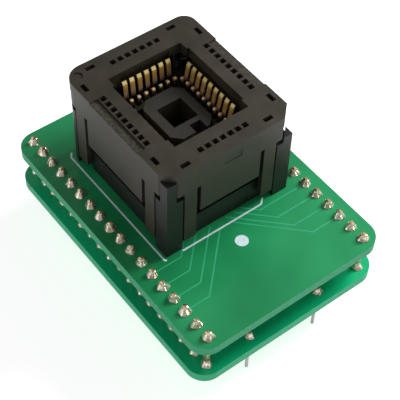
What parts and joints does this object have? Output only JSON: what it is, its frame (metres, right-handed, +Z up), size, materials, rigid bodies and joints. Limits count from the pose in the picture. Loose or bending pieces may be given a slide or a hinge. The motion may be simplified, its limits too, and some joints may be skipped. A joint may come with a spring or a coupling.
{
  "type": "ZIF socket adapter",
  "caption": "Zero insertion force chip socket with a press-down cover, on two stacked boards with plug pins below.",
  "frame": {"origin": "centre of the plug pin pattern on the underside of the lower board", "axes": "+Z up out of the socket, +Y along the pin rows towards the socket's end of the board, +X to the right"},
  "size_m": [0.033, 0.047, 0.0314],
  "materials": {
    "board": "glossy",
    "header_plastic": "matte",
    "socket_plastic": "matte",
    "cover_plastic": "satin",
    "seat_plastic": "matte",
    "gold_pins": "polished",
    "contact_gold": "satin",
    "solder": "glossy",
    "plug_metal": "satin",
    "spring_steel": "satin"
  },
  "bodies": {
    "carrier": {"lower_board": "board", "upper_board": "board", "header_strip_left": "header_plastic", "header_strip_right": "header_plastic", "link_pins_left": "gold_pins", "link_pins_right": "gold_pins", "solder_upper_left": "solder", "solder_upper_right": "solder", "solder_lower_left": "solder", "solder_lower_right": "solder", "plug_pins_left": "plug_metal", "plug_pins_right": "plug_metal", "solder_plug_left": "solder", "solder_plug_right": "solder", "solder_tails": "solder", "socket_base": "socket_plastic", "chip_seat": "seat_plastic", "contact_tails_left": "contact_gold", "contact_tails_right": "contact_gold", "contact_tails_front": "contact_gold", "contact_tails_back": "contact_gold", "spring_front_left": "spring_steel", "spring_front_right": "spring_steel", "spring_back_left": "spring_steel", "spring_back_right": "spring_steel"},
    "cover": {"cover": "cover_plastic"},
    "fingers_left": {"contact_fingers_left": "contact_gold"},
    "fingers_right": {"contact_fingers_right": "contact_gold"},
    "fingers_front": {"contact_fingers_front": "contact_gold"},
    "fingers_back": {"contact_fingers_back": "contact_gold"}
  },
  "joints": [
    {"name": "cover_press", "type": "slide", "parent": "carrier", "child": "cover", "axis": [0, 0, 1], "range_m": [-0.0008, 0], "stiffness_N_per_m": 200, "springref_m": 0.0006, "deforming": ["spring_front_left", "spring_front_right", "spring_back_left", "spring_back_right"]},
    {"name": "open_left", "type": "hinge", "parent": "carrier", "child": "fingers_left", "pos_m": [-0.0069, 0.00714, 0.0142], "axis": [0, -1, 0], "range_deg": [0, 2.5]},
    {"name": "open_right", "type": "hinge", "parent": "carrier", "child": "fingers_right", "pos_m": [0.0075, 0.00714, 0.0142], "axis": [0, 1, 0], "range_deg": [0, 2.5]},
    {"name": "open_front", "type": "hinge", "parent": "carrier", "child": "fingers_front", "pos_m": [0.0003, -0.00166, 0.0142], "axis": [1, 0, 0], "range_deg": [0, 2.5]},
    {"name": "open_back", "type": "hinge", "parent": "carrier", "child": "fingers_back", "pos_m": [0.0003, 0.01594, 0.0142], "axis": [-1, 0, 0], "range_deg": [0, 2.5]}
  ],
  "couplings": [
    {"joint": "open_left", "follows": "cover_press", "rad_per_m": -54.5},
    {"joint": "open_right", "follows": "cover_press", "rad_per_m": -54.5},
    {"joint": "open_front", "follows": "cover_press", "rad_per_m": -54.5},
    {"joint": "open_back", "follows": "cover_press", "rad_per_m": -54.5}
  ]
}
